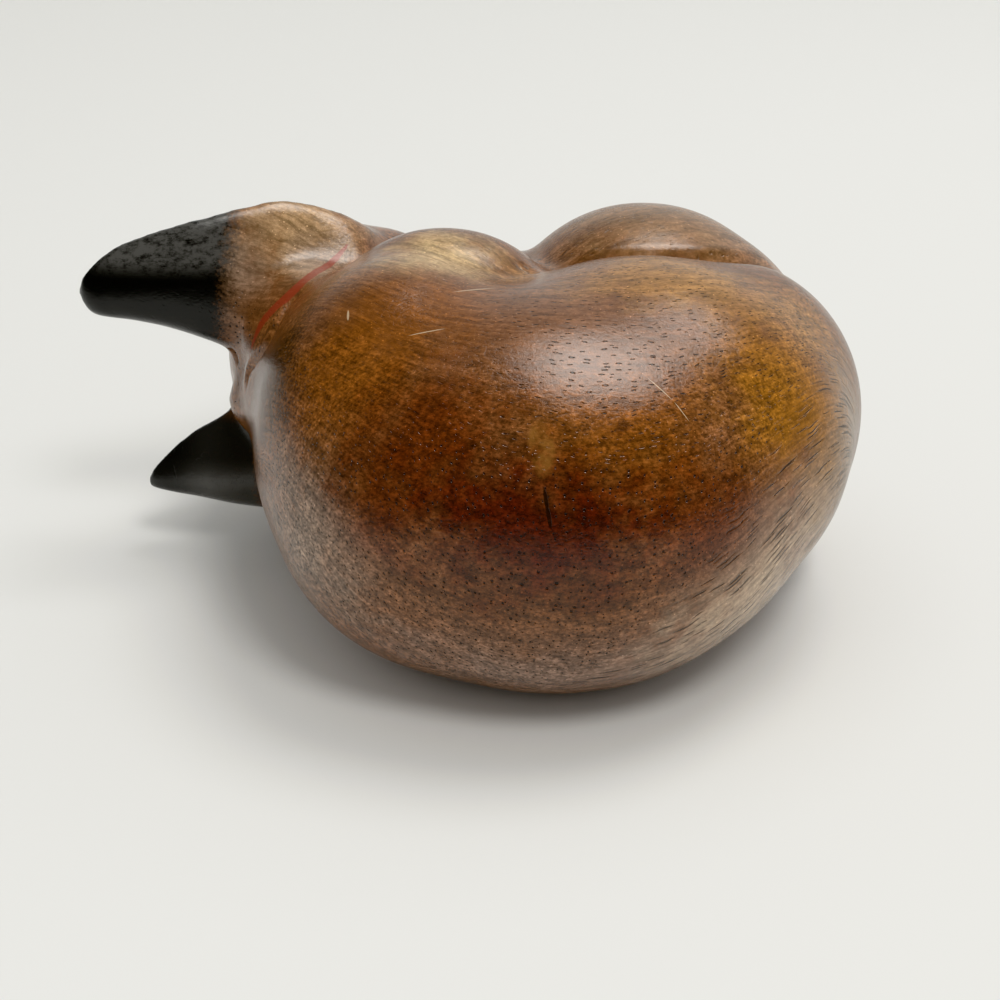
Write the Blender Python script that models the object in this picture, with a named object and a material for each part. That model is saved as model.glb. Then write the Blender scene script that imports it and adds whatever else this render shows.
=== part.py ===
"""A sleeping cat carved from one block of hardwood, curled up on its left side.

+X points from the ears to the rump, +Y from the spine to the belly and the face, and +Z up.
The origin lies on the flat that is sanded on the underside, below the middle of the back.
"""

import math

import bmesh
import bpy
from mathutils import Matrix, Vector

# Driving dimensions, in metres: from ear tip to rump, and how much is sanded off the underside
LENGTH = 0.095
SANDED_OFF = 0.0014

# How finely the block is carved, as shares of its length, and how many facets are kept
CARVING_STEP = LENGTH / 106
FACETS = 9400

# Passes of sandpaper over the joins: many between the big masses, few round the limbs
TORSO_PASSES = 90
LIMB_PASSES = 8

# The block is divided into ninety-fifths of its length. Every place and radius below is in them.
UNIT = LENGTH / 95

# Where the origin lies in the block, on its underside
BELOW_THE_BACK = Vector((1.0, 3.0, 0.0))

# Oiled hardwood, as a linear colour
WOOD_COLOUR = (0.24, 0.10, 0.035, 1.0)
WOOD_ROUGHNESS = 0.35

# Smooth round masses: centre and radii
TORSO = {
    "rump": ((11.0, 6.4, 26.0), (25.1, 22.4, 21.8)),
    "loin": ((7.4, 2.0, 24.0), (24.4, 23.2, 22.8)),
    "back": ((1.0, -1.2, 23.4), (28.5, 23.7, 23.6)),
    "hip": ((19.8, 14.5, 26.0), (18.6, 19.0, 19.0)),
    "ribs": ((-8.6, 1.2, 23.2), (24.0, 23.4, 22.8)),
    "shoulders": ((-15.8, 8.5, 24.6), (19.1, 21.5, 23.2)),
    "neck": ((-22.0, 19.0, 26.0), (15.5, 14.0, 16.0)),
    "belly": ((-2.0, 24.0, 17.0), (20.0, 18.0, 16.0)),
}
LIMBS = {
    "upper_foreleg": ((-12.0, 17.0, 32.0), (16.0, 12.5, 15.8)),
    "upper_thigh": ((12.4, 27.0, 26.5), (19.6, 20.0, 20.2)),
    "back_of_thigh": ((16.6, 26.0, 26.0), (17.4, 18.0, 18.8)),
    "skull": ((-26.8, 33.5, 25.2), (13.5, 15.5, 17.4)),
    "nape": ((-26.0, 24.0, 23.0), (13.6, 9.0, 6.6)),
    "back_of_neck": ((-28.5, 24.0, 32.0), (8.6, 9.5, 9.0)),
    "cheeks": ((-22.0, 37.0, 25.8), (13.0, 12.5, 14.6)),
    "muzzle": ((-20.5, 46.4, 25.8), (7.8, 6.2, 8.8)),
    "throat": ((-10.0, 35.0, 12.5), (13.0, 11.0, 11.5)),
}

# Tapering forms: stations of centre, half height and half depth
EARS = {
    "upper_ear": [
        ((-26.0, 32.5, 34.8), 9.0, 8.0),
        ((-32.0, 30.5, 36.9), 10.3, 6.8),
        ((-37.6, 28.8, 37.6), 9.5, 5.8),
        ((-42.2, 27.6, 38.2), 8.0, 5.0),
        ((-46.8, 27.2, 38.3), 6.5, 4.4),
        ((-51.4, 26.6, 37.9), 5.2, 3.8),
        ((-54.6, 26.2, 36.8), 3.7, 3.0),
    ],
    "lower_ear": [
        ((-27.0, 31.5, 14.8), 9.2, 8.0),
        ((-32.0, 29.8, 14.1), 8.8, 6.8),
        ((-37.0, 28.6, 13.5), 7.7, 5.6),
        ((-40.7, 27.6, 13.1), 6.3, 4.8),
        ((-43.9, 27.2, 12.6), 4.9, 4.0),
        ((-47.3, 26.8, 11.6), 3.2, 3.0),
        ((-49.8, 26.5, 10.6), 1.9, 2.0),
    ],
}
LEGS_AND_TAIL = {
    "upper_forearm": [
        ((-6.0, 24.0, 33.0), 8.0, 8.0),
        ((-3.0, 34.0, 32.0), 6.5, 6.5),
        ((-5.0, 40.0, 31.0), 5.6, 5.6),
        ((-8.5, 43.5, 30.5), 5.4, 5.0),
    ],
    "lower_forearm": [
        ((-4.0, 26.0, 18.0), 8.0, 8.0),
        ((-1.0, 37.0, 19.0), 6.2, 6.2),
        ((-4.0, 43.0, 19.8), 5.4, 5.2),
        ((-8.0, 45.0, 20.4), 5.2, 4.8),
    ],
    "hind_foot": [
        ((20.0, 38.0, 16.0), 8.0, 8.0),
        ((12.0, 43.0, 14.0), 6.4, 6.0),
        ((3.0, 45.5, 12.8), 5.4, 4.8),
        ((-3.0, 46.0, 12.6), 5.2, 4.8),
    ],
    "tail": [
        ((30.0, 18.0, 12.0), 6.0, 6.0),
        ((30.5, 30.0, 7.2), 5.4, 5.4),
        ((24.0, 40.0, 5.9), 5.2, 5.2),
        ((12.0, 46.0, 5.6), 5.0, 5.0),
        ((-3.0, 47.5, 5.5), 4.9, 4.9),
        ((-15.0, 46.5, 5.3), 4.6, 4.6),
        ((-23.0, 42.5, 5.2), 4.2, 4.2),
    ],
}

# How deep the inner side of a form is beside its outer side: an ear is nearly flat inside
ROUND = 1.0
FLAT_INSIDE = 0.35

# How far below its middle an ear is thickest, as a share of its half height
LOW_RIDGE = 0.5

# How finely the shells are drawn before they are joined
SPHERE_DETAIL = 4
STEPS_BETWEEN_STATIONS = 8
SIDES = 24
DOME_RINGS = 5


def clear_scene():
    """Removes whatever the file was opened with."""
    for item in list(bpy.data.objects):
        bpy.data.objects.remove(item)


def wood_material():
    """Oiled hardwood, satin rather than glossy."""
    material = bpy.data.materials.new("oiled_wood")
    material.use_nodes = True
    shader = material.node_tree.nodes["Principled BSDF"]
    shader.inputs["Base Color"].default_value = WOOD_COLOUR
    shader.inputs["Roughness"].default_value = WOOD_ROUGHNESS
    shader.inputs["Metallic"].default_value = 0.0
    return material


def in_block(point):
    """A place in the block, as metres from the origin."""
    return (Vector(point) - BELOW_THE_BACK) * UNIT - Vector((0, 0, SANDED_OFF))


def add_mass(shape, centre, radii):
    """An ellipsoid, as a shell of its own in the mesh."""
    stretch = Matrix.Diagonal((*[radius * UNIT for radius in radii], 1.0))
    placed = Matrix.Translation(in_block(centre)) @ stretch
    bmesh.ops.create_icosphere(shape, subdivisions=SPHERE_DETAIL, radius=1.0, matrix=placed)


def between(before, first, second, after, share):
    """The place a share of the way from first to second, on a smooth curve through all four."""
    return 0.5 * (
        2 * first
        + (second - before) * share
        + (2 * before - 5 * first + 4 * second - after) * share**2
        + (3 * first - before - 3 * second + after) * share**3
    )


def smooth_stations(stations):
    """Centre, half height and half depth in metres, read from the smooth curve through the stations."""
    given = [Vector((*in_block(centre), high * UNIT, deep * UNIT)) for centre, high, deep in stations]
    padded = [2 * given[0] - given[1], *given, 2 * given[-1] - given[-2]]
    rows = []
    for index in range(1, len(given)):
        for step in range(STEPS_BETWEEN_STATIONS):
            rows.append(between(*padded[index - 1 : index + 3], step / STEPS_BETWEEN_STATIONS))
    return [*rows, given[-1]]


def rings_of(stations):
    """Each ring as its centre, the direction it looks in, its half height and its half depth."""
    rows = smooth_stations(stations)
    rings = []
    for index, row in enumerate(rows):
        before = rows[max(index - 1, 0)].to_3d()
        after = rows[min(index + 1, len(rows) - 1)].to_3d()
        rings.append((row.to_3d(), (after - before).normalized(), row[3], row[4]))
    return rings


def dome(ring, outward):
    """The shrinking rings that round off an end, and its tip."""
    centre, along, high, deep = ring
    reach = along * min(high, deep) * outward
    rings = []
    for step in range(1, DOME_RINGS):
        angle = math.pi / 2 * step / DOME_RINGS
        shrunk = math.cos(angle)
        rings.append((centre + reach * math.sin(angle), along, high * shrunk, deep * shrunk))
    return rings, centre + reach


def draw_ring(shape, ring, inner):
    """The points of one ring. Its height is upright. Its inner side may be flatter than an oval, and
    then its outer side leans back from a ridge that runs low."""
    centre, along, high, deep = ring
    inward = along.cross(Vector((0, 0, 1))).normalized()
    upward = inward.cross(along).normalized()
    points = []
    for side in range(SIDES):
        angle = 2 * math.pi * side / SIDES
        depth = deep * math.cos(angle)
        if depth > 0:
            depth *= inner
        elif inner < ROUND:
            depth *= 1 - LOW_RIDGE * math.sin(angle)
        points.append(shape.verts.new(centre + upward * high * math.sin(angle) + inward * depth))
    return points


def add_loft(shape, stations, inner):
    """A smooth tapering form with rounded ends, as a shell of its own in the mesh."""
    rings = rings_of(stations)
    first_rings, first_tip = dome(rings[0], -1)
    last_rings, last_tip = dome(rings[-1], 1)
    loops = [draw_ring(shape, ring, inner) for ring in [*reversed(first_rings), *rings, *last_rings]]
    for near, far in zip(loops, loops[1:]):
        for side in range(SIDES):
            after = (side + 1) % SIDES
            shape.faces.new((near[side], near[after], far[after], far[side]))
    for place, loop in ((first_tip, loops[0]), (last_tip, loops[-1])):
        tip = shape.verts.new(place)
        for side in range(SIDES):
            shape.faces.new((tip, loop[side], loop[(side + 1) % SIDES]))


def mesh_from(shape, name):
    """Turns a shape into a mesh, its faces pointing out."""
    bmesh.ops.recalc_face_normals(shape, faces=shape.faces)
    mesh = bpy.data.meshes.new(name)
    shape.to_mesh(mesh)
    shape.free()
    return mesh


def linked(name, mesh):
    """A new object of this mesh, in the scene."""
    item = bpy.data.objects.new(name, mesh)
    bpy.context.scene.collection.objects.link(item)
    return item


def one_skin(shape, name, passes):
    """One skin over all the shells, as the block is one piece of wood, with the joins sanded round."""
    item = linked(name, mesh_from(shape, name + "_shells"))
    joined = item.modifiers.new("joined", "REMESH")
    joined.mode = "VOXEL"
    joined.voxel_size = CARVING_STEP
    joined.use_smooth_shade = True
    rounded = item.modifiers.new("rounded", "SMOOTH")
    rounded.iterations = passes
    graph = bpy.context.evaluated_depsgraph_get()
    skin = bpy.data.meshes.new_from_object(item.evaluated_get(graph))
    bpy.data.objects.remove(item)
    return skin


def torso_skin():
    """The back, rump and shoulders, blended softly into one another."""
    shape = bmesh.new()
    for centre, radii in TORSO.values():
        add_mass(shape, centre, radii)
    return one_skin(shape, "torso", TORSO_PASSES)


def cat_skin():
    """The torso with the head, ears, legs and tail, whose creases stay crisp."""
    shape = bmesh.new()
    shape.from_mesh(torso_skin())
    for centre, radii in LIMBS.values():
        add_mass(shape, centre, radii)
    for stations in EARS.values():
        add_loft(shape, stations, FLAT_INSIDE)
    for stations in LEGS_AND_TAIL.values():
        add_loft(shape, stations, ROUND)
    return one_skin(shape, "cat", LIMB_PASSES)


def make_sanding_block():
    """Everything below the origin, which the underside is sanded down to."""
    shape = bmesh.new()
    below = Matrix.Translation((0, 0, -LENGTH))
    bmesh.ops.create_cube(shape, size=2 * LENGTH, matrix=below)
    block = linked("sanding_block", mesh_from(shape, "sanding_block"))
    block.hide_render = True
    block.display_type = "WIRE"
    return block


def make_cat():
    """The whole figure: one solid, in as few facets as hold its form, with a flat underside."""
    skin = cat_skin()
    skin.calc_loop_triangles()
    cat = linked("carved_cat", skin)
    cat.data.materials.append(wood_material())
    facets = cat.modifiers.new("facets", "DECIMATE")
    facets.ratio = FACETS / len(skin.loop_triangles)
    sanded = cat.modifiers.new("sanded_underside", "BOOLEAN")
    sanded.operation = "DIFFERENCE"
    sanded.solver = "EXACT"
    sanded.object = make_sanding_block()


clear_scene()
make_cat()
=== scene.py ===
# %% [markdown]
# # A sleeping cat, carved from one block of hardwood
#
# The figure is a cat curled up on its left side. It was carved from a single block, sanded
# smooth, varnished, and then painted by hand: black ears, and a thin red line for a collar.
# Everything here is in metres, with the flat underside on the floor and the ears towards -X.
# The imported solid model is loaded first, and everything else is fitted to it.

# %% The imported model
import math

import bpy
import numpy as np
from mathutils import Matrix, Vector, noise
from mathutils.bvhtree import BVHTree


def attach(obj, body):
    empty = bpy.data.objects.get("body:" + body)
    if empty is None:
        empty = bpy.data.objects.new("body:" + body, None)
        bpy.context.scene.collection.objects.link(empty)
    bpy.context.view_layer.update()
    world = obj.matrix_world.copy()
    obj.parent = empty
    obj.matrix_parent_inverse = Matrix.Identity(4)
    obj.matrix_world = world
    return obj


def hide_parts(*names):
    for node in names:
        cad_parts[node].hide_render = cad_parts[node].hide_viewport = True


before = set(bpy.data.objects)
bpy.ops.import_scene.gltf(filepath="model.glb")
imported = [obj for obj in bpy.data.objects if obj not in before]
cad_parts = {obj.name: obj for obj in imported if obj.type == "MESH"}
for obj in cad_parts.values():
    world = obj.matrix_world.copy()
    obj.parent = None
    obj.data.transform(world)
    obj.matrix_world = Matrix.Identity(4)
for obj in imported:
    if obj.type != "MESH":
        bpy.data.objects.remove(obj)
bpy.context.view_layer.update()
MM = 0.001
print("Nodes:", sorted(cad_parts))

# %% [markdown]
# ## The camera
#
# The figure was photographed from close by, from behind its back and above. A close camera makes
# what is near look larger, so the distance matters as much as the angle. The lens follows from
# the distance and from the width that the picture takes in there. The view transform is a neutral
# one, which leaves pale and middle tones as they are and only tames the brightest gleams.

# %% The camera
ELEVATION = math.radians(28)
DISTANCE = 240 * MM
WIDTH_SEEN = 115.4 * MM
SENSOR = 36.0
LOOKS_AT = Vector((-6.4, -3.0, 20.0)) * MM

camera_settings = bpy.data.cameras.new("camera")
camera_settings.sensor_width = SENSOR
camera_settings.lens = SENSOR * DISTANCE / WIDTH_SEEN
camera_settings.clip_start = 10 * MM
camera = bpy.data.objects.new("camera", camera_settings)
camera.location = LOOKS_AT + DISTANCE * Vector((0, -math.cos(ELEVATION), math.sin(ELEVATION)))
camera.rotation_euler = (math.pi / 2 - ELEVATION, 0, 0)
bpy.context.scene.collection.objects.link(camera)
bpy.context.scene.camera = camera
bpy.context.scene.view_settings.view_transform = "Khronos PBR Neutral"
print("Lens in mm:", round(camera_settings.lens, 1))

# %% [markdown]
# ## Node trees, in short calls
#
# Materials and the room are all node trees. One helper adds a node and sets or joins its
# sockets, and a few more name the sums that come up again and again. A recipe then reads as
# what it does, rather than as a list of boxes and wires.


# %% Helpers for node trees
def fill(tree, socket, value):
    """Joins another node's socket to this one, or sets its number or colour."""
    if isinstance(value, bpy.types.NodeSocket):
        tree.links.new(value, socket)
    else:
        socket.default_value = value


def add(tree, kind, settings=None, inputs=None):
    """A new node. Settings are its own choices, and inputs are named or numbered sockets."""
    made = tree.nodes.new(kind)
    for name, value in (settings or {}).items():
        setattr(made, name, value)
    for name, value in (inputs or {}).items():
        fill(tree, made.inputs[name], value)
    return made


def maths(tree, operation, *values):
    """One sum with numbers."""
    node = add(tree, "ShaderNodeMath", {"operation": operation}, dict(enumerate(values)))
    return node.outputs[0]


def vector_maths(tree, operation, *values):
    """One sum with vectors. A length and a dot product come out as numbers."""
    node = add(tree, "ShaderNodeVectorMath", {"operation": operation}, dict(enumerate(values)))
    return node.outputs["Value" if operation in ("LENGTH", "DOT_PRODUCT") else "Vector"]


def scaled(tree, vector, factor):
    """A vector or colour made longer or stronger."""
    inputs = {"Vector": vector, "Scale": factor}
    return add(tree, "ShaderNodeVectorMath", {"operation": "SCALE"}, inputs).outputs["Vector"]


def mixed(tree, share, first, second):
    """Two numbers mixed by a share."""
    return add(tree, "ShaderNodeMix", {}, {0: share, 2: first, 3: second}).outputs[0]


def blend(tree, share, first, second):
    """Two colours mixed by a share."""
    return add(tree, "ShaderNodeMix", {"data_type": "RGBA"}, {0: share, 6: first, 7: second}).outputs[2]


def ease(tree, value, low, high, at_low=0.0, at_high=1.0):
    """A value that goes from one number to another, gently, while another rises from low to high."""
    inputs = {"Value": value, "From Min": low, "From Max": high, "To Min": at_low, "To Max": at_high}
    return add(tree, "ShaderNodeMapRange", {"interpolation_type": "SMOOTHSTEP"}, inputs).outputs[0]


def cloud(tree, place, size, detail=2.0, roughness=0.5):
    """Soft noise from 0 to 1, whose lumps are about this many millimetres across."""
    inputs = {"Vector": place, "Scale": 1 / size, "Detail": detail, "Roughness": roughness}
    return add(tree, "ShaderNodeTexNoise", {"noise_dimensions": "3D"}, inputs).outputs[0]


# %% [markdown]
# ## Floor and light
#
# The floor is one pale matt sheet. It is lit by two soft lamps, one overhead and one in front, and
# by an evenly pale room. What the varnish mirrors is set apart from what lights the figure: a pale
# wall behind it, one wide bright patch nearly overhead, and dark elsewhere. The patch makes the
# broad gleam on the back. The dark makes the varnish look deep in the middle of the back, and the
# floor and the wall veil it with grey round the rim.

# %% The floor
FLOOR_SIZE = 4.0
FLOOR_COLOUR = (0.755, 0.755, 0.735, 1.0)
FLOOR_ROUGHNESS = 0.6
FLOOR_GLOSS = 0.2

half = FLOOR_SIZE / 2
floor_mesh = bpy.data.meshes.new("floor")
corners = [(-half, -half, 0), (half, -half, 0), (half, half, 0), (-half, half, 0)]
floor_mesh.from_pydata(corners, [], [(0, 1, 2, 3)])
floor = bpy.data.objects.new("floor", floor_mesh)
bpy.context.scene.collection.objects.link(floor)

floor_material = bpy.data.materials.new("pale_floor")
floor_material.use_nodes = True
floor_shader = floor_material.node_tree.nodes["Principled BSDF"]
floor_shader.inputs["Base Color"].default_value = FLOOR_COLOUR
floor_shader.inputs["Roughness"].default_value = FLOOR_ROUGHNESS
floor_shader.inputs["Specular IOR Level"].default_value = FLOOR_GLOSS
floor.data.materials.append(floor_material)
print("Floor, metres across:", FLOOR_SIZE)


# %% The lamps
def hang_lamp(name, towards, distance, size, power, colour):
    """A round soft lamp that shines at the figure from this direction, and isn't mirrored in it."""
    towards = Vector(towards).normalized()
    settings = bpy.data.lights.new(name, "AREA")
    settings.shape = "DISK"
    settings.size = size
    settings.energy = power
    settings.color = colour
    made = bpy.data.objects.new(name, settings)
    made.location = towards * distance
    made.rotation_euler = towards.to_track_quat("Z", "Y").to_euler()
    made.visible_glossy = False
    bpy.context.scene.collection.objects.link(made)
    print(name, "stands", round(math.degrees(math.asin(towards.z))), "degrees above the floor")


WARM_WHITE = (1.0, 0.99, 0.965)
WHITE = (1.0, 0.99, 0.97)

hang_lamp("overhead_lamp", (0.31, 0.17, 1.0), distance=0.75, size=0.34, power=1.9, colour=WARM_WHITE)
hang_lamp("front_lamp", (0.28, -0.55, 1.0), distance=0.9, size=0.26, power=2.4, colour=WHITE)

# %% The room
PALE_ROOM = (0.66, 0.66, 0.645, 1.0)
WALL_BEHIND = (0.70, 0.72, 0.71, 1.0)
DARK_ROOM = (0.045, 0.045, 0.045, 1.0)
BRIGHT_PATCH = (6.0, 5.9, 5.7, 1.0)
TO_WALL = (0.35, 0.94, 0.0)
TO_PATCH = (0.20, 0.19, 0.96)
# How squarely a direction has to point there to meet the edge of each, and to be well inside
WALL_EDGE, WALL_INSIDE = 0.2, 0.95
PATCH_EDGE, PATCH_INSIDE = 0.90, 0.96

room = bpy.data.worlds.new("room")
bpy.context.scene.world = room
room.use_nodes = True
tree = room.node_tree
towards = add(tree, "ShaderNodeTexCoord").outputs["Generated"]
to_wall = ease(tree, vector_maths(tree, "DOT_PRODUCT", towards, TO_WALL), WALL_EDGE, WALL_INSIDE)
to_patch = ease(tree, vector_maths(tree, "DOT_PRODUCT", towards, TO_PATCH), PATCH_EDGE, PATCH_INSIDE)
in_varnish = blend(tree, to_patch, blend(tree, to_wall, DARK_ROOM, WALL_BEHIND), BRIGHT_PATCH)
is_mirrored = add(tree, "ShaderNodeLightPath").outputs["Is Glossy Ray"]
room_colour = blend(tree, is_mirrored, PALE_ROOM, in_varnish)
fill(tree, tree.nodes["Background"].inputs["Color"], room_colour)
print("Nodes in the room:", len(tree.nodes))

# %% [markdown]
# ## The skin of the figure
#
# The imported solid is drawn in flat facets. Wood that was sanded by hand has none, so a copy of it
# is merged, rounded by subdivision, and then remeshed into small even squares. Even squares
# matter, because the finer carving that follows moves single points of this mesh.

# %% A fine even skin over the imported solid
GRID = 0.51 * MM
SAME_POINT = 0.001 * MM
ROUNDS = 2

cat = bpy.data.objects.new("carved_cat_wood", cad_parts["carved_cat"].data.copy())
bpy.context.scene.collection.objects.link(cat)
cat.data.materials.clear()
weld = cat.modifiers.new("weld", "WELD")
weld.merge_threshold = SAME_POINT
rounded = cat.modifiers.new("rounded", "SUBSURF")
rounded.levels = ROUNDS
rounded.render_levels = ROUNDS
even = cat.modifiers.new("even", "REMESH")
even.mode = "VOXEL"
even.voxel_size = GRID
even.use_smooth_shade = True
graph = bpy.context.evaluated_depsgraph_get()
skin = bpy.data.meshes.new_from_object(cat.evaluated_get(graph))
cat.modifiers.clear()
cat.data = skin
print("Squares in the skin:", len(skin.polygons))

# %% [markdown]
# ## Sanding
#
# Averaging each point with its neighbours takes the facets out, but it also shrinks thin forms,
# such as the tips of the ears. What one round of sanding takes off is measured by a second round
# and added back, so that the facets go and the tips stay.


# %% Sand the facets off
def sand(places, edges, passes):
    """Each point moved halfway to the middle of its neighbours, again and again."""
    count = len(places)
    first = np.concatenate([edges[:, 0], edges[:, 1]])
    second = np.concatenate([edges[:, 1], edges[:, 0]])
    neighbours = np.bincount(first, minlength=count)
    for _ in range(passes):
        middle = [np.bincount(first, places[second, axis], count) for axis in range(3)]
        places = (places + np.stack(middle, axis=1) / neighbours[:, None]) / 2
    return places


PASSES = 36

points = np.empty(len(skin.vertices) * 3)
skin.vertices.foreach_get("co", points)
points = points.reshape(-1, 3) / MM
edges = np.empty(len(skin.edges) * 2, dtype=int)
skin.edges.foreach_get("vertices", edges)
edges = edges.reshape(-1, 2)
once = sand(points, edges, PASSES)
points = 2 * once - sand(once, edges, PASSES)
points[:, 2] = np.maximum(points[:, 2], 0)
print("Points in the skin:", len(points))

# %% [markdown]
# ## Tools for the finer carving
#
# The finer carving moves points of the skin, in millimetres. A groove follows a path in space and
# is deepest on it. A push moves everything near one place the same way, as a thumb moves clay.
# Modelling by a few such strokes keeps every form editable by its numbers.


# %% Grooves, pushes and paths
def write_back():
    """Puts the moved points into the mesh and returns the direction that each one faces."""
    skin.vertices.foreach_set("co", (points * MM).ravel())
    skin.update()
    facing = np.empty(len(points) * 3)
    skin.vertices.foreach_get("normal", facing)
    return facing.reshape(-1, 3)


def fading(distance, reach):
    """1 at no distance and 0 from reach on, with no corner at either end."""
    share = np.clip(1 - distance / reach, 0, 1)
    return share * share * (3 - 2 * share)


def to_path(path):
    """How far each point is from a path, and how far along the path that is, from 0 to 1."""
    path = np.array(path, float)
    nearest = np.full(len(points), np.inf)
    along = np.zeros(len(points))
    pieces = len(path) - 1
    for index in range(pieces):
        start = path[index]
        step = path[index + 1] - start
        share = np.clip((points - start) @ step / (step @ step), 0, 1)
        distance = np.linalg.norm(points - start - share[:, None] * step, axis=1)
        closer = distance < nearest
        nearest[closer] = distance[closer]
        along[closer] = (index + share[closer]) / pieces
    return nearest, along


def smooth_path(stops, steps=8):
    """More stops on the smooth curve through the given ones."""
    stops = [np.array(stop, float) for stop in stops]
    padded = [2 * stops[0] - stops[1], *stops, 2 * stops[-1] - stops[-2]]
    path = []
    for index in range(1, len(stops)):
        a, b, c, d = padded[index - 1 : index + 3]
        for step in range(steps):
            t = step / steps
            bend = (2 * a - 5 * b + 4 * c - d) * t**2
            swing = (3 * b - a - 3 * c + d) * t**3
            path.append((2 * b + (c - a) * t + bend + swing) / 2)
    return [*path, stops[-1]]


def groove(path, reach, depth, ends=0.0):
    """Cuts along a path. With ends, it runs out to nothing over that share at each end."""
    global points
    distance, along = to_path(path)
    cut = depth * fading(distance, reach)
    if ends:
        cut = cut * np.clip(np.minimum(along, 1 - along) / ends, 0, 1)
    points = points - normals * cut[:, None]


def push(centre, reach, move):
    """Moves what is near the centre by this much."""
    global points
    distance = np.linalg.norm(points - np.array(centre, float), axis=1)
    points = points + fading(distance, reach)[:, None] * np.array(move, float)


normals = write_back()

# %% [markdown]
# ## Creases that show from the back
#
# Between the head and the shoulder the carver left a crease. It starts beside the red line, runs
# down the neck, and dies out between the crown and the lower ear. There is a nick under the upper
# ear too, and one where the shoulder, the thigh and the back meet. Behind the near crest the wood
# falls away into a valley, so that the crest stands out against the thigh. All four are grooves,
# because each follows a path and runs out at its ends.

# %% Neck, ear and crest
NECK_CREASE = smooth_path(
    [
        (-29.2, 16.2, 39.0),
        (-30.6, 14.9, 38.3),
        (-31.8, 13.8, 37.2),
        (-32.8, 11.4, 36.0),
        (-33.9, 9.8, 34.6),
        (-35.5, 10.6, 32.2),
        (-36.7, 12.2, 29.6),
        (-37.2, 12.4, 27.2),
        (-37.9, 14.6, 24.0),
    ]
)
UNDER_EAR = [(-39.8, 22.0, 28.6), (-39.3, 22.3, 25.6)]
THREE_FORMS_MEET = [(-4.4, 12.0, 43.6), (-2.0, 10.6, 42.6)]
BEHIND_CREST = smooth_path(
    [
        (-1.0, 15.0, 41.6),
        (5.5, 14.0, 42.8),
        (11.3, 13.5, 43.6),
        (17.4, 14.5, 43.2),
        (22.4, 17.0, 41.6),
        (27.0, 21.0, 38.8),
    ]
)

groove(NECK_CREASE, reach=1.3, depth=0.8, ends=0.2)
groove(UNDER_EAR, reach=0.7, depth=0.6, ends=0.3)
groove(THREE_FORMS_MEET, reach=0.9, depth=0.5, ends=0.3)
groove(BEHIND_CREST, reach=3.2, depth=2.4, ends=0.25)
normals = write_back()
print("The neck's crease has", len(NECK_CREASE), "stops")

# %% [markdown]
# ## The back of the head
#
# The head runs into the neck as one full round form. The solid is a little low there, so one
# upward push fills it. A push is enough, because the form has no edge of its own.

# %% Raise the back of the head
BACK_OF_HEAD = (-24.5, 26.0, 40.8)

push(BACK_OF_HEAD, reach=6.0, move=(0.0, 0.0, 1.3))
normals = write_back()
print("Highest point in mm:", round(points[:, 2].max(), 2))

# %% [markdown]
# ## Ears
#
# The far side is finished in the same way as the near one and a little plainer. Its strokes are
# given as x and z, and a line along -Y drops them onto the wood, so they lie on its surface
# whatever its shape. The ears come first. They are scooped out on the side that faces the belly.


# %% Drop a path onto the far side
def surface_of_skin():
    """The skin as it is now, in a form that answers where a line meets it."""
    write_back()
    faces = [tuple(polygon.vertices) for polygon in skin.polygons]
    return BVHTree.FromPolygons([Vector(point) for point in points], faces)


def drop(stops):
    """Stops given as x and z, put on the wood where a line along -Y meets it."""
    far_out = 90.0
    path = []
    for x, z in stops:
        hit, _, _, _ = surface.ray_cast(Vector((x, far_out, z)), Vector((0, -1, 0)))
        path.append(tuple(hit))
    return path


surface = surface_of_skin()


# %% Hollow the ears
def hollow(stops, reach_from, reach_to, depth):
    """Scoops out the side that faces the belly, narrower and shallower towards the ear's tip."""
    global points
    distance, along = to_path(drop(stops))
    reach = reach_from + (reach_to - reach_from) * along
    cut = depth * (1 - 0.5 * along) * fading(distance, reach) * np.clip(normals[:, 1], 0, 1)
    points = points - normals * cut[:, None]


UPPER_EAR = [(-36.0, 36.8), (-41.0, 37.4), (-46.0, 37.4), (-51.0, 37.0)]
LOWER_EAR = [(-35.0, 12.6), (-39.5, 12.2), (-43.5, 11.6), (-46.5, 10.9)]

hollow(UPPER_EAR, reach_from=6.6, reach_to=2.8, depth=2.6)
hollow(LOWER_EAR, reach_from=5.2, reach_to=1.8, depth=1.9)
normals = write_back()
surface = surface_of_skin()
print("Ears hollowed:", 2)

# %% [markdown]
# ## The face
#
# The head lies on its side, so the eyes are one above the other, the same distance from the
# middle line of the face. Nose and whisker pads are pushed out and the eye sockets in, because
# they are soft forms. Closed eyes and mouth are grooves, because a carver cuts them with a V tool.

# %% Nose, whisker pads and eye sockets
FACE_Z = 24.4
NOSE_X = -25.4
MOUTH_X = -21.2
PAD_X = MOUTH_X - 0.6
PAD_APART = 3.3
EYE_X = -30.0
EYE_APART = 7.4

push(drop([(NOSE_X, FACE_Z)])[0], reach=3.0, move=(0, 1.3, 0))
for side in (-1, 1):
    push(drop([(PAD_X, FACE_Z + side * PAD_APART)])[0], reach=4.0, move=(0, 1.1, 0))
    push(drop([(EYE_X, FACE_Z + side * EYE_APART)])[0], reach=5.0, move=(0, -0.5, 0))
normals = write_back()
surface = surface_of_skin()
print("The eyes are this far apart, in mm:", 2 * EYE_APART)

# %% Closed eyes and mouth
EYE_HALF_WIDTH = 3.4
EYE_BULGE = 1.9
MOUTH_CURVE = [(0, 0), (1.0, 1.8), (0.4, 3.6), (-1.2, 5.0)]

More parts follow.
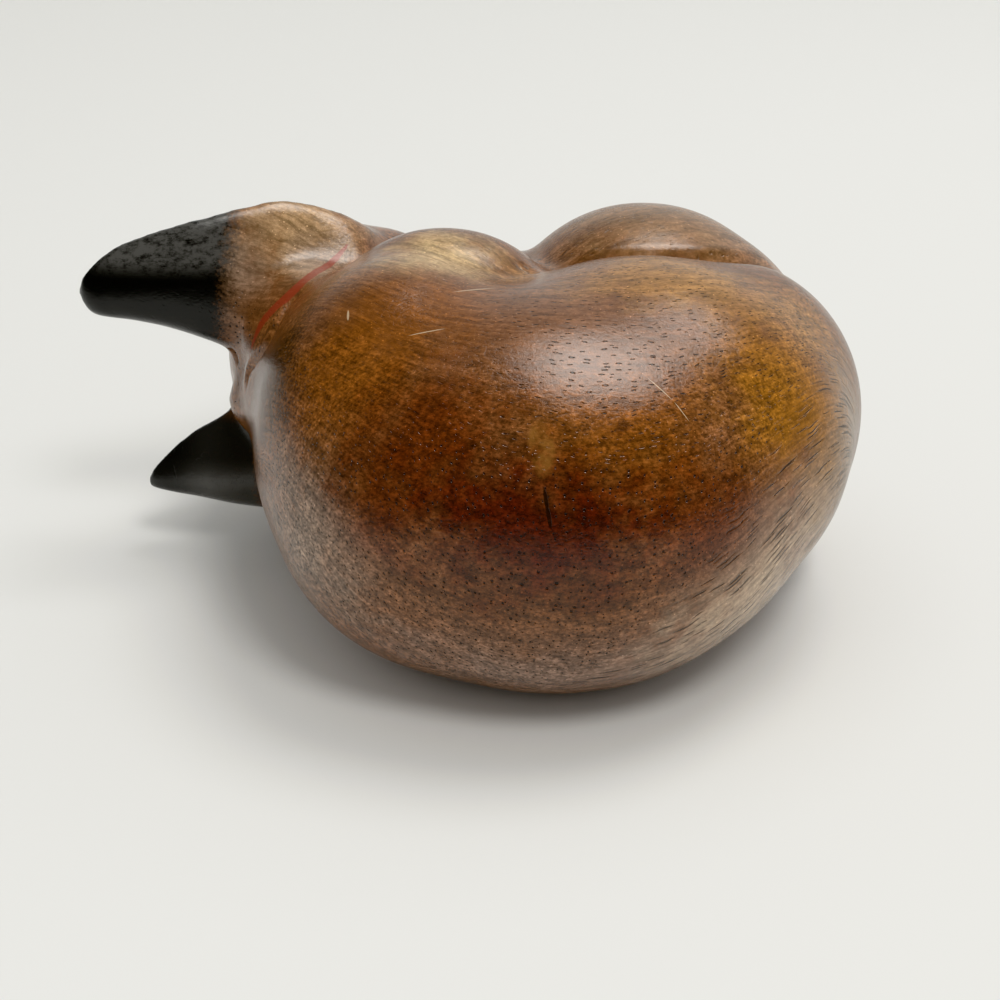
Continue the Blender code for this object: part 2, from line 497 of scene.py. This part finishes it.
mouth_stops = [[(NOSE_X + 1.6, FACE_Z), (MOUTH_X, FACE_Z)]]
eye_stops = []
for side in (-1, 1):
    mouth_stops.append([(MOUTH_X + ahead, FACE_Z + side * across) for ahead, across in MOUTH_CURVE])
    eye = []
    for step in range(9):
        share = step / 4 - 1
        eye.append((EYE_X + EYE_BULGE * (1 - share**2), FACE_Z + side * (EYE_APART + EYE_HALF_WIDTH * share)))
    eye_stops.append(eye)

for stops in eye_stops:
    groove(drop(stops), reach=1.1, depth=0.6, ends=0.12)
for stops in mouth_stops:
    groove(drop(stops), reach=0.8, depth=0.5, ends=0.1)
print("Strokes in the face:", len(eye_stops) + len(mouth_stops))

# %% [markdown]
# ## The paws
#
# Two forepaws are folded under the chin, and one hind foot lies before the belly. Each is only a
# rounded end until two short grooves part its toes.

# %% Toes
PAWS = {"upper_forepaw": (-7.5, 30.5), "lower_forepaw": (-7.0, 20.4), "hind_paw": (-3.0, 12.6)}
TOE_GAP = 1.7
TOE_BACK = 3.0
TOE_FRONT = 3.5
CLOSER_IN_FRONT = 0.8

for paw_x, paw_z in PAWS.values():
    for across in (-TOE_GAP, TOE_GAP):
        toe_line = [
            (paw_x + TOE_BACK, paw_z + across),
            (paw_x, paw_z + across),
            (paw_x - TOE_FRONT, paw_z + CLOSER_IN_FRONT * across),
        ]
        groove(drop(toe_line), reach=0.8, depth=0.7, ends=0.3)
normals = write_back()
print("Paws with toes:", len(PAWS))

# %% [markdown]
# ## Where the face is painted
#
# Eyes, mouth and nose are painted as well as cut. The grooves have just moved the surface, so
# their paths are dropped once more, onto the wood as it is now.

# %% Paths for the brush
surface = surface_of_skin()
eyes = [drop(stops) for stops in eye_stops]
mouth = [drop(stops) for stops in mouth_stops]
nose = drop([(NOSE_X - 0.4, FACE_Z - 0.9), (NOSE_X - 0.4, FACE_Z + 0.9)])
print("The nose is at", [round(value, 1) for value in nose[0]])

# %% [markdown]
# ## Hand-worked swells
#
# The block was worked by hand, so even its smoothest parts swell and dip by a few hundredths of a
# millimetre. Nobody sees that as a shape, but it is what makes a reflection waver.

# %% Swell and dip
SWELL_SIZE = 9.0
SWELL_HEIGHT = 0.07

swell = np.array([noise.noise(Vector(point) / SWELL_SIZE) for point in points])
points = points + normals * (swell * SWELL_HEIGHT)[:, None]
points[:, 2] = np.maximum(points[:, 2], 0)
normals = write_back()
print("Largest swell in mm:", round(abs(swell).max() * SWELL_HEIGHT, 3))

# %% [markdown]
# ## Where the paint goes
#
# Paint edges are crisper than the mesh is fine. So the mesh keeps how far each of its points is
# from the middle of a painted line, less half the line's width. That number changes evenly across
# the surface, and the material finds the edge exactly where it passes nought.


# %% Painted lines
def settle(path):
    """The same path, moved to the nearest places on the wood."""
    return [tuple(surface.find_nearest(Vector(stop))[0]) for stop in path]


def keep_line(name, lines, ends):
    """Stores how far each point is outside the nearest of these painted lines, in millimetres."""
    far_away = 50.0
    outside = np.full(len(points), far_away)
    for path, half_width in lines:
        distance, along = to_path(path)
        # A brush line tapers, but it doesn't come to a needle's point
        width = half_width * np.clip(np.minimum(along, 1 - along) / ends + 0.15, 0, 1)
        outside = np.minimum(outside, distance - width)
    layer = skin.attributes.new(name, "FLOAT", "POINT")
    layer.data.foreach_set("value", outside.astype(np.float32))
    print(name, "covers", int((outside < 0).sum()), "points")


COLLAR = smooth_path(
    [
        (-25.3, 25.8, 39.9),
        (-26.2, 23.8, 39.3),
        (-28.2, 19.8, 39.3),
        (-30.3, 16.8, 38.5),
        (-32.6, 15.2, 36.9),
        (-34.9, 14.8, 34.3),
        (-36.0, 14.3, 32.0),
        (-36.6, 14.2, 30.6),
    ]
)
COLLAR_PAINT = 0.68
EYE_PAINT = 0.5
MOUTH_PAINT = 0.38
NOSE_PAINT = 1.2

dark_lines = [(path, EYE_PAINT) for path in eyes] + [(path, MOUTH_PAINT) for path in mouth]
keep_line("collar", [(settle(COLLAR), COLLAR_PAINT)], ends=0.35)
keep_line("dark_lines", [*dark_lines, (nose, NOSE_PAINT)], ends=0.25)

# %% [markdown]
# ## Which way the grain runs
#
# Grain shows as arcs where a rounded form is cut from a straight tree. So the mesh also keeps two
# distances for each point: how far along the body it lies, and how far round it, starting from
# the top of the back. The second is bowed by the first, and its level lines are the grain. The
# head has an axis of its own. Its chart meets the body's in the crease of the neck.

# %% The chart of the grain
BODY_AXIS_Y = 4.0
BODY_AXIS_Z = 20.0
BODY_RADIUS = 27.0
STRETCH_PER_MM2 = 1 / 3600
FARTHEST_STRETCH = 33.0
BOW = 0.013
BOW_STARTS = 3.0
HEAD_AXIS_Y = 32.0
HEAD_AXIS_Z = 25.0
HEAD_RADIUS = 17.0
HEAD_SLOPE = 0.25
# The plane of the neck's crease, and the corner of the head that lies beyond it
CREASE_POINT = np.array((-25.3, 25.8, 39.9))
CREASE_FACES = np.array((-0.784, 0.357, 0.508))
CHIN_X = -11.0
CHIN_Y = 30.0

x, y, z = points.T
stretched = np.minimum(abs(x), FARTHEST_STRETCH)
along_body = x * (1 + stretched**2 * STRETCH_PER_MM2)
round_body = BODY_RADIUS * np.arctan2(BODY_AXIS_Y - y, z - BODY_AXIS_Z)
round_body = round_body + BOW * (along_body - BOW_STARTS) ** 2
round_head = HEAD_RADIUS * np.arctan2(HEAD_AXIS_Y - y, z - HEAD_AXIS_Z) - HEAD_SLOPE * x
past_crease = (points - CREASE_POINT) @ CREASE_FACES > 0
in_head = past_crease | ((y > CHIN_Y) & (x < CHIN_X))
along_chart = np.where(in_head, x, along_body)
round_chart = np.where(in_head, round_head, round_body)
chart = np.stack([along_chart, round_chart, 0 * x], axis=1)
layer = skin.attributes.new("chart", "FLOAT_VECTOR", "POINT")
layer.data.foreach_set("vector", chart.astype(np.float32).ravel())
print("Points that follow the head's grain:", int(in_head.sum()))

# %% [markdown]
# ## Open pores
#
# It is a dense tropical hardwood, red-brown at the heart and paler where the carver cut into the
# outer wood. Its pores are long thin vessels that run with the grain. Cut across, they show as
# dots, and cut lengthwise, as dark dashes. One group draws them all, as ovals scattered over the
# chart, and only the size of its cells changes.


# %% A group for open pores
def new_group(name, inputs, outputs):
    """An empty shader group with named sockets, and the nodes that stand for them inside it."""
    group = bpy.data.node_groups.new(name, "ShaderNodeTree")
    for label, kind, value in inputs:
        socket = group.interface.new_socket(label, in_out="INPUT", socket_type="NodeSocket" + kind)
        socket.default_value = value
    for label, kind in outputs:
        group.interface.new_socket(label, in_out="OUTPUT", socket_type="NodeSocket" + kind)
    return group, group.nodes.new("NodeGroupInput").outputs, group.nodes.new("NodeGroupOutput").inputs


SMALLEST_PORE = 0.5
PORE_VARIES_BY = 0.8
PORE_CORE = 0.4

pores_group, given, result = new_group(
    "open_pores",
    [
        ("Chart", "Vector", (0, 0, 0)),
        ("Cell", "Vector", (1, 1, 1)),
        ("Size", "Float", 0.2),
        ("Share", "Float", 0.7),
    ],
    [("Pores", "Float")],
)
cells = vector_maths(pores_group, "DIVIDE", given["Chart"], given["Cell"])
flat_cells = {"voronoi_dimensions": "2D", "feature": "F1"}
ovals = add(pores_group, "ShaderNodeTexVoronoi", flat_cells, {"Vector": cells, "Scale": 1.0}).outputs
chance = add(pores_group, "ShaderNodeSeparateColor", {}, {0: ovals["Color"]}).outputs
spread = maths(pores_group, "MULTIPLY_ADD", chance[0], PORE_VARIES_BY, SMALLEST_PORE)
radius = maths(pores_group, "MULTIPLY", given["Size"], spread)
core = maths(pores_group, "MULTIPLY", radius, PORE_CORE)
inside = ease(pores_group, ovals["Distance"], core, radius, 1.0, 0.0)
there = maths(pores_group, "LESS_THAN", chance[1], given["Share"])
fill(pores_group, result["Pores"], maths(pores_group, "MULTIPLY", inside, there))
print("Nodes in the pores:", len(pores_group.nodes))

# %% [markdown]
# ## Places, and which pores show where
#
# The material works in millimetres on Object coordinates, so it stays put when the figure moves.
# Dashes show on top, dots below, and long streaks on the pale right flank. The middle of the back
# was rubbed full of varnish, and so was the thigh, so pores are fainter there. One soft noise
# shifts all these limits, so that none of them runs straight.

# %% Place, chart and pores
wood = bpy.data.materials.new("varnished_wood")
wood.use_nodes = True
tree = wood.node_tree
shader = tree.nodes["Principled BSDF"]
place = scaled(tree, add(tree, "ShaderNodeTexCoord").outputs["Object"], 1 / MM)
position = add(tree, "ShaderNodeSeparateXYZ", {}, {0: place}).outputs
grain = add(tree, "ShaderNodeAttribute", {"attribute_name": "chart"}).outputs["Vector"]
wobble = add(tree, "ShaderNodeTexNoise", {}, {"Vector": place, "Scale": 0.35, "Detail": 1.0}).outputs["Color"]
grain = vector_maths(tree, "ADD", grain, scaled(tree, wobble, 0.9))


def pores(cell, size, share):
    """Pores in cells of this size along and round the body, in this share of the cells."""
    inputs = {"Chart": grain, "Cell": cell, "Size": size, "Share": share}
    return add(tree, "ShaderNodeGroup", {"node_tree": pores_group}, inputs).outputs["Pores"]


LIMITS_SHIFT = 8.0
RIGHT_LIMIT_LEANS = -0.9

patches = cloud(tree, place, 7.0, 1.0)
height_up = maths(tree, "MULTIPLY_ADD", patches, LIMITS_SHIFT, position[2])
to_right = maths(tree, "MULTIPLY_ADD", patches, LIMITS_SHIFT, position[0])
near_rim = maths(tree, "MULTIPLY_ADD", position[2], RIGHT_LIMIT_LEANS, to_right)
near_side = ease(tree, position[1], 2.0, 14.0, 1.0, 0.0)
on_right = maths(tree, "MULTIPLY", ease(tree, near_rim, -6.0, 2.0), near_side)
on_top = ease(tree, height_up, 37.0, 43.0)
clear_middle = ease(tree, to_right, -10.0, 6.0, 0.25, 1.0)
filled_thigh = ease(tree, position[1], 9.0, 15.0, 1.0, 0.4)
dots = pores(cell=(0.95, 0.80, 1), size=0.17, share=0.75)
dashes = pores(cell=(1.8, 0.46, 1), size=0.19, share=0.55)
streaks = maths(tree, "MULTIPLY", pores(cell=(7.5, 0.75, 1), size=0.25, share=0.9), 0.82)
low_pores = mixed(tree, on_right, dots, streaks)
top_pores = maths(tree, "MULTIPLY", dashes, maths(tree, "MULTIPLY", clear_middle, filled_thigh))
all_pores = mixed(tree, on_top, low_pores, top_pores)
print("Nodes so far:", len(tree.nodes))

# %% [markdown]
# ## Stains
#
# The wood goes from a nearly black red in the middle of the back, through amber, to tan on the
# crests and beige at the lower right. That beige, and the grey on the left flank and at the bottom,
# are partly the wood's own colour and partly a painted reflection of the pale floor. Each stained
# place is an oval with ragged edges, laid over the ones before it. One group draws an oval, and a
# list says where each is, how far it reaches, in which colour and how strongly. One soft noise makes
# all their edges ragged.

# %% A group for stained places
stain_group, given, result = new_group(
    "stained_place",
    [
        ("Place", "Vector", (0, 0, 0)),
        ("Centre", "Vector", (0, 0, 0)),
        ("Radii", "Vector", (10, 10, 10)),
        ("Unevenness", "Float", 0.0),
        ("Strength", "Float", 1.0),
        ("Colour", "Color", (0, 0, 0, 1)),
        ("Stain", "Color", (0, 0, 0, 1)),
    ],
    [("Colour", "Color")],
)
from_centre = vector_maths(stain_group, "SUBTRACT", given["Place"], given["Centre"])
in_radii = vector_maths(stain_group, "DIVIDE", from_centre, given["Radii"])
distance = vector_maths(stain_group, "LENGTH", in_radii)
ragged = maths(stain_group, "ADD", distance, given["Unevenness"])
share = maths(stain_group, "MULTIPLY", ease(stain_group, ragged, 0.1, 1.25, 1.0, 0.0), given["Strength"])
fill(stain_group, result["Colour"], blend(stain_group, share, given["Colour"], given["Stain"]))
print("Nodes in a stain:", len(stain_group.nodes))

# %% Colours of the wood
BROWN = (0.17, 0.078, 0.038, 1)
GREY_BROWN = (0.23, 0.165, 0.12, 1)
# Grey-brown, partly the wood's colour and partly a painted reflection of the pale floor
FLOOR_SHEEN_BROWN = (0.23, 0.148, 0.108, 1)
DARK_BROWN = (0.075, 0.035, 0.014, 1)
LOW_BROWN = (0.10, 0.038, 0.013, 1)
DEEP = (0.055, 0.007, 0.003, 1)
RED_BROWN = (0.085, 0.018, 0.004, 1)
AMBER = (0.18, 0.065, 0.016, 1)
BRIGHT_AMBER = (0.26, 0.110, 0.018, 1)
ORANGE_TAN = (0.34, 0.175, 0.055, 1)
DARK_TAN = (0.22, 0.135, 0.065, 1)
TAN = (0.33, 0.22, 0.115, 1)
HEAD_TAN = (0.42, 0.28, 0.155, 1)
PALE = (0.50, 0.35, 0.18, 1)
BEIGE = (0.40, 0.295, 0.20, 1)

# %% Where the stains are
# Each has its centre and its radii in millimetres, its colour, and how much of it covers
STAINS = {
    "lump": ((13, 23, 43), (17, 12, 9), TAN, 0.36),
    "crest": ((14, 2, 45), (15, 8, 6), ORANGE_TAN, 0.85),
    "shoulder_left": ((-20, 7, 44), (8, 8, 6), ORANGE_TAN, 0.15),
    "pale_shoulder": ((-13, 9, 45.5), (8, 6.5, 5), PALE, 0.95),
    "orange_hollow": ((-4, 9.5, 42.6), (5, 4, 3), ORANGE_TAN, 0.5),
    "head_top": ((-31, 25, 42), (10, 9, 7), HEAD_TAN, 0.85),
    # Beside the collar the head is greyer and darker
    "grey_neck": ((-28.5, 22.5, 39.5), (6, 5, 4), GREY_BROWN, 0.75),
    "ear_root": ((-38, 20, 39), (6, 7, 7), GREY_BROWN, 0.8),
    "head_low": ((-36, 16, 34), (5, 6, 6), BROWN, 0.8),
    "left_edge": ((-33, 0, 35), (7, 12, 9), DARK_BROWN, 0.95),
    # The grey at the bottom is partly a painted reflection of the pale floor
    "bottom": ((0, -23, 9), (30, 10, 9), FLOOR_SHEEN_BROWN, 0.85),
    "low_middle": ((0, -26, 23), (23, 9, 9), LOW_BROWN, 0.95),
    # The grey on the left flank is partly a painted reflection of the pale floor
    "left_side": ((-27, -16, 22), (11, 10, 12), GREY_BROWN, 0.85),
    "upper_left": ((-16, -4, 44), (11, 8, 7), AMBER, 0.9),
    "amber_left": ((-22, -10, 39), (10, 10, 9), AMBER, 0.9),
    # The beige at the lower right and on the right rim is partly pale wood, partly a painted reflection of
    # the floor
    "low_right": ((24, -17, 14), (19, 14, 13), BEIGE, 0.95),
    "right_rim": ((33, -11, 22), (9, 11, 14), BEIGE, 0.75),
    "right_edge": ((33, -4, 28), (9, 14, 14), DARK_TAN, 0.85),
    "amber_right": ((25, -8, 36), (12, 13, 11), BRIGHT_AMBER, 0.9),
    "top_right": ((27, 4, 40), (9, 7, 6), ORANGE_TAN, 0.65),
    "middle": ((6, -21, 37), (12, 9, 8), AMBER, 0.9),
    "red_right": ((15, -23, 28), (13, 9, 9), RED_BROWN, 0.85),
    "low_left": ((-18, -21, 29), (9, 8, 7), RED_BROWN, 0.75),
    "red_left": ((-14, -19, 36), (12, 10, 9), RED_BROWN, 0.9),
    "dark_middle": ((-3, -25.5, 29), (16, 9, 10), DEEP, 0.95),
}
RAGGEDNESS = 1.5

unevenness = maths(tree, "SUBTRACT", cloud(tree, place, 4.0, 4.0, 0.62), 0.5)
ragged_edges = maths(tree, "MULTIPLY", unevenness, RAGGEDNESS)
colour = BROWN
for centre, radii, stain, strength in STAINS.values():
    inputs = {
        "Place": place,
        "Centre": centre,
        "Radii": radii,
        "Unevenness": ragged_edges,
        "Strength": strength,
        "Colour": colour,
        "Stain": stain,
    }
    colour = add(tree, "ShaderNodeGroup", {"node_tree": stain_group}, inputs).outputs["Colour"]
print("Stained places:", len(STAINS))

# %% [markdown]
# ## Fibres, granules and flecks
#
# From close by, no stain is even. Fibres run with the grain, and between them the stain has taken
# in fine granules and wider mottling. Each is a noise that makes the colour lighter or darker, and
# pores only darken it. Top, head and the pale right flank are calmer than the rest, because their
# wood is pale and was rubbed smooth. A few light flecks lie over everything.

# %% Tones over the colour
FIBRE_CELL = (5.0, 0.55, 1)
GRANULE_CELL = (0.50, 0.34, 0.34)
MOTTLING_SIZE = 1.1
PORE_DARKENS_TO = 0.2
CALMED_BY = 0.6

fibres = cloud(tree, vector_maths(tree, "DIVIDE", grain, FIBRE_CELL), 1.0, 3.0, 0.6)
granules = cloud(tree, vector_maths(tree, "DIVIDE", place, GRANULE_CELL), 1.0, 4.0, 0.72)
mottling = cloud(tree, place, MOTTLING_SIZE, 3.0, 0.65)
fibre_tone = ease(tree, fibres, 0.25, 0.75, 0.66, 1.32)
granule_tone = ease(tree, granules, 0.3, 0.7, 0.5, 1.55)
mottling_tone = ease(tree, mottling, 0.3, 0.7, 0.68, 1.36)
pore_tone = ease(tree, all_pores, 0.0, 1.0, 1.0, PORE_DARKENS_TO)

beyond_shoulder = ease(tree, position[0], -29.0, -25.0, 1.0, 0.0)
behind_back = ease(tree, position[1], 12.0, 17.0)
head_zone = maths(tree, "MULTIPLY", beyond_shoulder, behind_back)
calm = maths(tree, "MAXIMUM", ease(tree, height_up, 42.0, 48.0), head_zone)
calm = maths(tree, "MAXIMUM", calm, on_right)
mottled_tone = maths(tree, "MULTIPLY", granule_tone, mottling_tone)
calmer_tone = mixed(tree, maths(tree, "MULTIPLY", calm, CALMED_BY), mottled_tone, 1.0)
tone = maths(tree, "MULTIPLY", maths(tree, "MULTIPLY", fibre_tone, calmer_tone), pore_tone)

# %% Light flecks
FLECKS_PER_MM = 2.2
FLECK_SIZE = 0.42
FLECK_LIGHTENS_BY = 1.3
# Most cells have no fleck: only those whose chance is above this
FLECK_CHANCE = 0.4

solid_cells = {"voronoi_dimensions": "3D", "feature": "F1"}
flecks = add(tree, "ShaderNodeTexVoronoi", solid_cells, {"Vector": place, "Scale": FLECKS_PER_MM}).outputs
fleck_chance = add(tree, "ShaderNodeSeparateColor", {}, {0: flecks["Color"]}).outputs[0]
fleck_size = maths(tree, "MULTIPLY", maths(tree, "SUBTRACT", fleck_chance, FLECK_CHANCE), FLECK_SIZE)
in_fleck = maths(tree, "DIVIDE", flecks["Distance"], maths(tree, "MAXIMUM", fleck_size, 0.001))
fleck = ease(tree, in_fleck, 0.5, 1.0, 1.0, 0.0)
tone = maths(tree, "MULTIPLY_ADD", fleck, FLECK_LIGHTENS_BY, tone)
colour = scaled(tree, colour, tone)
print("Nodes so far:", len(tree.nodes))

# %% [markdown]
# ## Nicks, scratches and a dark crack
#
# A few marks stand out by themselves: short pale nicks and scratches on the shoulder and the
# back, a pale rubbed patch, and under it a thin dark crack along the grain. Each is drawn from its
# two ends and half its width. A group tells how far a place is along and across that stroke, and
# the stroke's own width direction is taken from the surface under its middle.

# %% A group for single marks
mark_group, given, result = new_group(
    "single_mark",
    [
        ("Place", "Vector", (0, 0, 0)),
        ("Middle", "Vector", (0, 0, 0)),
        ("Along", "Vector", (1, 0, 0)),
        ("Across", "Vector", (0, 1, 0)),
    ],
    [("Mark", "Float")],
)
from_middle = vector_maths(mark_group, "SUBTRACT", given["Place"], given["Middle"])
along = vector_maths(mark_group, "DOT_PRODUCT", from_middle, given["Along"])
across = vector_maths(mark_group, "DOT_PRODUCT", from_middle, given["Across"])
squares = maths(mark_group, "MULTIPLY_ADD", along, along, maths(mark_group, "MULTIPLY", across, across))
oval = ease(mark_group, squares, 0.4, 1.0, 1.0, 0.0)
# The far side of the figure lies in line with the mark as well, so only what is near counts
near = ease(mark_group, vector_maths(mark_group, "LENGTH", from_middle), 4.0, 5.0, 1.0, 0.0)
fill(mark_group, result["Mark"], maths(mark_group, "MULTIPLY", oval, near))
print("Nodes in a mark:", len(mark_group.nodes))

# %% Draw the marks
surface = surface_of_skin()


def draw(strokes):
    """One mask for several long thin marks, each given by its two ends and half its width."""
    mask = 0.0
    for start, stop, half_width in strokes:
        start, stop = Vector(start), Vector(stop)
        middle, outwards, _, _ = surface.find_nearest((start + stop) / 2)
        step = (stop - start) / 2
        sideways = step.cross(outwards).normalized()
        inputs = {
            "Place": place,
            "Middle": middle,
            "Along": step / step.length_squared,
            "Across": sideways / half_width,
        }
        mark = add(tree, "ShaderNodeGroup", {"node_tree": mark_group}, inputs).outputs["Mark"]
        mask = maths(tree, "MAXIMUM", mask, mark)
    return mask


SCRATCHES = [
    ((-23.3, -1.7, 43.3), (-23.1, -3.1, 42.3), 0.17),
    ((-16.6, -7.7, 42.6), (-12.1, -7.6, 43.5), 0.10),
    ((9.1, -15.2, 41.2), (11.9, -16.7, 39.0), 0.07),
    ((11.8, -16.6, 39.1), (13.6, -17.9, 37.1), 0.07),
    ((-4.1, 12.2, 43.4), (-1.8, 9.8, 42.7), 0.22),
    ((-11.9, -0.4, 44.7), (-6.6, 1.8, 44.3), 0.12),
]
RUBBED_PATCH = [((-2.5, -20.2, 38.9), (-1.7, -24.6, 33.6), 1.6)]
CRACK = [
    ((-1.9, -24.6, 33.2), (-1.4, -25.9, 30.4), 0.24),
    ((-1.6, -25.4, 31.6), (-1.1, -26.5, 28.9), 0.26),
]
RUBBED = (0.27, 0.13, 0.045, 1)
BARE_WOOD = (0.55, 0.42, 0.28, 1)
CRACK_DARK = (0.012, 0.006, 0.004, 1)

crack = draw(CRACK)
rubbed_here = maths(tree, "MULTIPLY", draw(RUBBED_PATCH), ease(tree, unevenness, -0.12, 0.16, 0.0, 0.75))
colour = blend(tree, rubbed_here, colour, RUBBED)
colour = blend(tree, maths(tree, "MULTIPLY", draw(SCRATCHES), 0.75), colour, BARE_WOOD)
colour = blend(tree, maths(tree, "MULTIPLY", crack, 0.85), colour, CRACK_DARK)
print("Single marks:", len(SCRATCHES) + len(RUBBED_PATCH) + len(CRACK))

# %% [markdown]
# ## Paint
#
# The ears were sprayed black, so their paint ends in a speckled edge across the ear. A painted sheen
# greys the top of the upper ear, and a painted reflection of the floor greys the lower ear's outer side.
# The collar, the eyes, the mouth and the nose were painted with a brush, so their edges come from
# the lines that the mesh keeps.

# %% Black ears
SPECKLE_SIZE = 0.45
SPECKLE_REACH = 4.0
BLACK_EDGE_LEANS = -0.13

speckle = maths(tree, "SUBTRACT", cloud(tree, place, SPECKLE_SIZE, 2.0, 0.7), 0.5)
black_speckle = maths(tree, "MULTIPLY", speckle, SPECKLE_REACH)
leaning = maths(tree, "MULTIPLY_ADD", position[2], BLACK_EDGE_LEANS, position[0])
upper_black = ease(tree, maths(tree, "ADD", leaning, black_speckle), -46.0, -42.6, 1.0, 0.0)
lower_black = ease(tree, maths(tree, "ADD", position[0], black_speckle), -38.0, -35.5, 1.0, 0.0)
upper_part = ease(tree, position[2], 27.0, 29.0)
lower_part = ease(tree, position[2], 17.0, 20.0, 1.0, 0.0)
on_upper_ear = maths(tree, "MULTIPLY", upper_black, upper_part)
on_lower_ear = maths(tree, "MULTIPLY", lower_black, lower_part)
black_paint = maths(tree, "MAXIMUM", on_upper_ear, on_lower_ear)

# %% Painted sheen on the black
BLACK = (0.0035, 0.0035, 0.0033, 1)
SHEEN_BLACK = (0.10, 0.098, 0.092, 1)
SHEEN_STRETCH = (0.6, 1.0, 1.0)

sheen_cloud = cloud(tree, vector_maths(tree, "MULTIPLY", place, SHEEN_STRETCH), 0.8, 5.0, 0.75)
# A painted sheen of the overhead lamp greys the top of the upper ear, in mottled patches
top_sheen = maths(tree, "MULTIPLY", ease(tree, position[2], 37.6, 40.0), ease(tree, sheen_cloud, 0.27, 0.60))
# A painted reflection of the floor greys the lower ear's outer band, less towards its tip
low_band = maths(tree, "MULTIPLY", lower_part, ease(tree, position[2], 11.0, 13.5, 0.8, 0.3))
low_reflection = maths(tree, "MULTIPLY", low_band, ease(tree, position[0], -49.0, -43.0, 0.15, 1.0))
sheen_on_black = maths(tree, "MAXIMUM", top_sheen, low_reflection)

# %% Brush lines, and all the paint on the wood
BRICK_RED = (0.24, 0.050, 0.030, 1)
BRUSH_WAVER = 0.25
# Where paint is full and where it ends, in millimetres from the line's edge
FULL_PAINT, NO_PAINT = -0.12, 0.08

collar_distance = add(tree, "ShaderNodeAttribute", {"attribute_name": "collar"}).outputs["Fac"]
waver = maths(tree, "MULTIPLY", maths(tree, "SUBTRACT", cloud(tree, place, 0.5), 0.5), BRUSH_WAVER)
collar_edge = maths(tree, "ADD", collar_distance, waver)
red_paint = ease(tree, collar_edge, FULL_PAINT, NO_PAINT, 0.9, 0.0)
line_edge = add(tree, "ShaderNodeAttribute", {"attribute_name": "dark_lines"}).outputs["Fac"]
line_paint = ease(tree, line_edge, FULL_PAINT, NO_PAINT, 1.0, 0.0)

colour = blend(tree, red_paint, colour, BRICK_RED)
colour = blend(tree, black_paint, colour, blend(tree, sheen_on_black, BLACK, SHEEN_BLACK))
colour = blend(tree, line_paint, colour, BLACK)
fill(tree, shader.inputs["Base Color"], colour)

# %% [markdown]
# ## Gloss and relief
#
# The varnish is satin to semi-gloss, a little duller in some patches than in others. The pores and
# the crack are sunk into it, and mottling and granules leave it very slightly uneven. They are far
# too fine for the mesh, so a bump bends the light instead. On the black ears the pores are mostly
# filled with paint.

# %% Varnish
GLOSS = 0.72
VARNISH_IOR = 1.5
SMOOTHEST, DULLEST = 0.18, 0.25
PORE_DEPTH = 0.08
MOTTLING_HEIGHT = 0.04
GRANULE_HEIGHT = 0.035
FILLED_BY_PAINT = 0.7

bare = maths(tree, "SUBTRACT", 1.0, maths(tree, "MULTIPLY", black_paint, FILLED_BY_PAINT))
open_part = maths(tree, "MAXIMUM", maths(tree, "MULTIPLY", all_pores, bare), crack)
fine_height = maths(tree, "MULTIPLY", granules, GRANULE_HEIGHT)
uneven_height = maths(tree, "MULTIPLY_ADD", mottling, MOTTLING_HEIGHT, fine_height)
height = maths(tree, "MULTIPLY_ADD", open_part, -PORE_DEPTH, uneven_height)
bump = add(tree, "ShaderNodeBump", {}, {"Strength": 1.0, "Distance": MM, "Height": height})
fill(tree, shader.inputs["Normal"], bump.outputs[0])
fill(tree, shader.inputs["Roughness"], ease(tree, patches, 0.3, 0.7, SMOOTHEST, DULLEST))
shader.inputs["Specular IOR Level"].default_value = GLOSS
shader.inputs["IOR"].default_value = VARNISH_IOR
cat.data.materials.append(wood)
print("Nodes in the wood:", len(tree.nodes))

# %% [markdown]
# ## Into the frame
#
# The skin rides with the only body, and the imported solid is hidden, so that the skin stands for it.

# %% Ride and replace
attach(cat, "root")
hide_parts("carved_cat")
